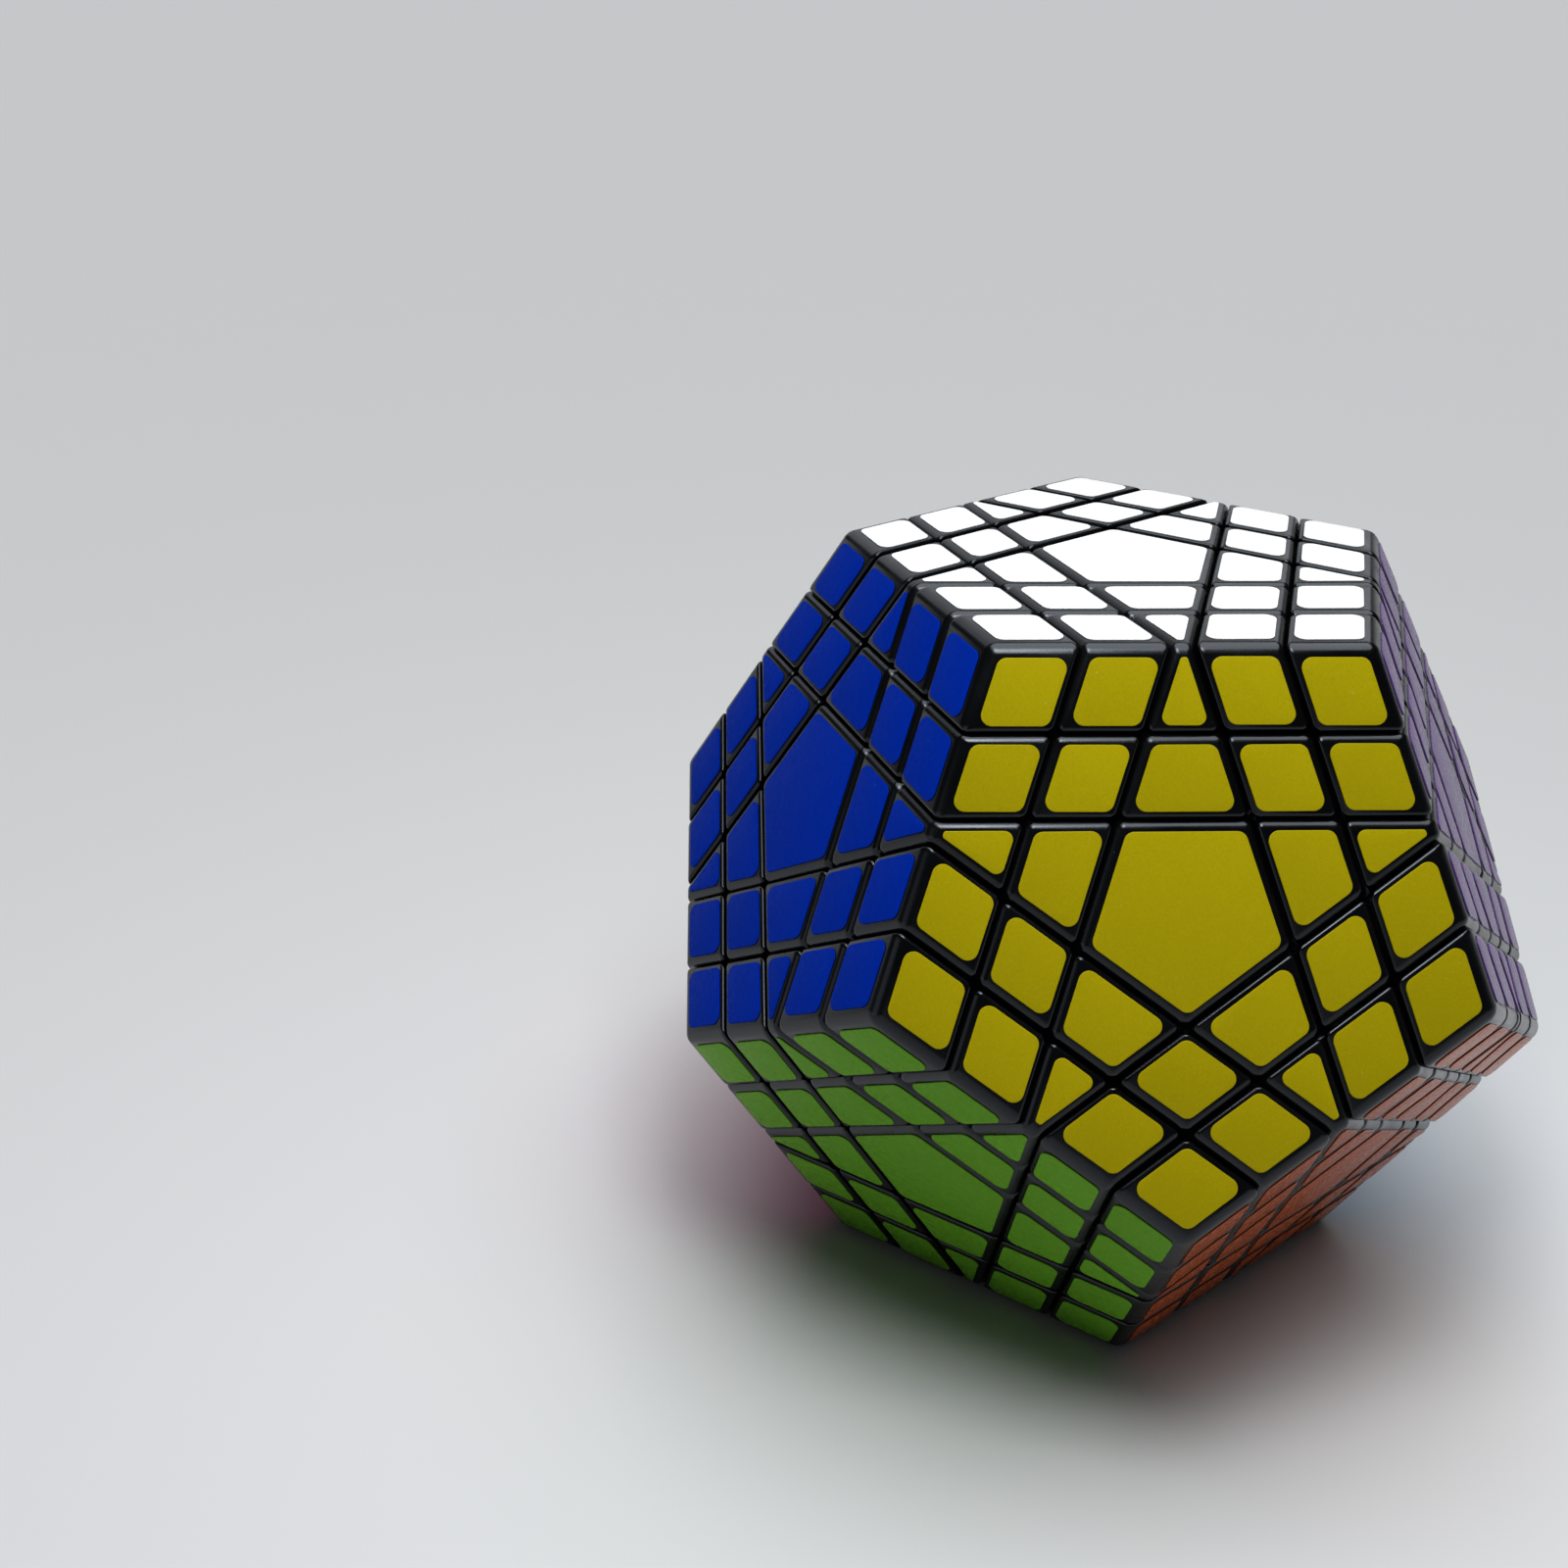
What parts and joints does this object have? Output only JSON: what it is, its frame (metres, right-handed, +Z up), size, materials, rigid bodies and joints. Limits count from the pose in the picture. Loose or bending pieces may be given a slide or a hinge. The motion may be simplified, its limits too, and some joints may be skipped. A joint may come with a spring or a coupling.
{
  "type": "dodecahedron twisty puzzle",
  "caption": "Dodecahedron twisty puzzle with coloured stickers on black pieces, an outer layer and a slice that turn behind each face, on a sprung screw core.",
  "frame": {"origin": "middle of the bottom face's centre sticker, on the surface that the puzzle stands on", "axes": "+Z up through the middle of the top face; -Y towards the front face; +X to the right"},
  "size_m": [0.1126, 0.1184, 0.0961],
  "materials": {
    "black_plastic": "satin",
    "core_nylon": "satin",
    "steel": "satin",
    "sticker_white": "satin",
    "sticker_yellow": "satin",
    "sticker_purple": "satin",
    "sticker_dark_green": "satin",
    "sticker_red": "satin",
    "sticker_blue": "satin",
    "sticker_orange": "satin",
    "sticker_light_blue": "satin",
    "sticker_cream": "satin",
    "sticker_pink": "satin",
    "sticker_light_green": "satin",
    "sticker_grey": "satin"
  },
  "bodies": {
    "root": {"core_upper_half": "core_nylon", "core_lower_half": "core_nylon", "screws": "steel", "springs": "steel", "fixed_centre_bases": "black_plastic", "fixed_centre_caps": "black_plastic", "fixed_t_centres": "black_plastic", "fixed_x_centres": "black_plastic", "fixed_mid_edges": "black_plastic", "fixed_wing_edges": "black_plastic", "fixed_corners": "black_plastic", "fixed_inner_pieces": "black_plastic", "fixed_stickers_yellow": "sticker_yellow", "fixed_stickers_purple": "sticker_purple", "fixed_stickers_dark_green": "sticker_dark_green", "fixed_stickers_red": "sticker_red", "fixed_stickers_blue": "sticker_blue", "fixed_stickers_orange": "sticker_orange", "fixed_stickers_cream": "sticker_cream", "fixed_stickers_pink": "sticker_pink", "fixed_stickers_grey": "sticker_grey"},
    "white_layer": {"white_centre_base": "black_plastic", "white_centre_cap": "black_plastic", "white_t_centres": "black_plastic", "white_x_centres": "black_plastic", "white_mid_edges": "black_plastic", "white_wing_edges": "black_plastic", "white_corners": "black_plastic", "white_stickers": "sticker_white"},
    "white_slice": {"white_slice_t_centres": "black_plastic", "white_slice_x_centres": "black_plastic", "white_slice_wings": "black_plastic", "white_slice_inner_pieces": "black_plastic", "white_slice_stickers": "sticker_yellow"},
    "light_green_layer": {"light_green_centre_base": "black_plastic", "light_green_centre_cap": "black_plastic", "light_green_t_centres": "black_plastic", "light_green_x_centres": "black_plastic", "light_green_mid_edges": "black_plastic", "light_green_wing_edges": "black_plastic", "light_green_corners": "black_plastic", "light_green_stickers": "sticker_light_green"},
    "light_green_slice": {"light_green_slice_t_centres": "black_plastic", "light_green_slice_x_centres": "black_plastic", "light_green_slice_wings": "black_plastic", "light_green_slice_inner_pieces": "black_plastic", "light_green_slice_stickers": "sticker_pink"},
    "light_blue_layer": {"light_blue_centre_base": "black_plastic", "light_blue_centre_cap": "black_plastic", "light_blue_t_centres": "black_plastic", "light_blue_x_centres": "black_plastic", "light_blue_mid_edges": "black_plastic", "light_blue_wing_edges": "black_plastic", "light_blue_corners": "black_plastic", "light_blue_stickers": "sticker_light_blue"},
    "light_blue_slice": {"light_blue_slice_t_centres": "black_plastic", "light_blue_slice_x_centres": "black_plastic", "light_blue_slice_wings": "black_plastic", "light_blue_slice_inner_pieces": "black_plastic", "light_blue_slice_stickers": "sticker_purple"}
  },
  "joints": [
    {"name": "white_layer_turn", "type": "hinge", "parent": "root", "child": "white_layer", "pos_m": [0, 0, 0.04803], "axis": [0, 0, 1], "continuous": true},
    {"name": "white_slice_turn", "type": "hinge", "parent": "root", "child": "white_slice", "pos_m": [0, 0, 0.04803], "axis": [0, 0, 1], "continuous": true},
    {"name": "light_green_layer_turn", "type": "hinge", "parent": "root", "child": "light_green_layer", "pos_m": [0, 0, 0.04803], "axis": [-0.5257, -0.7236, -0.4472], "continuous": true},
    {"name": "light_green_slice_turn", "type": "hinge", "parent": "root", "child": "light_green_slice", "pos_m": [0, 0, 0.04803], "axis": [-0.5257, -0.7236, -0.4472], "continuous": true},
    {"name": "light_blue_layer_turn", "type": "hinge", "parent": "root", "child": "light_blue_layer", "pos_m": [0, 0, 0.04803], "axis": [0.8507, 0.2764, -0.4472], "continuous": true},
    {"name": "light_blue_slice_turn", "type": "hinge", "parent": "root", "child": "light_blue_slice", "pos_m": [0, 0, 0.04803], "axis": [0.8507, 0.2764, -0.4472], "continuous": true}
  ]
}
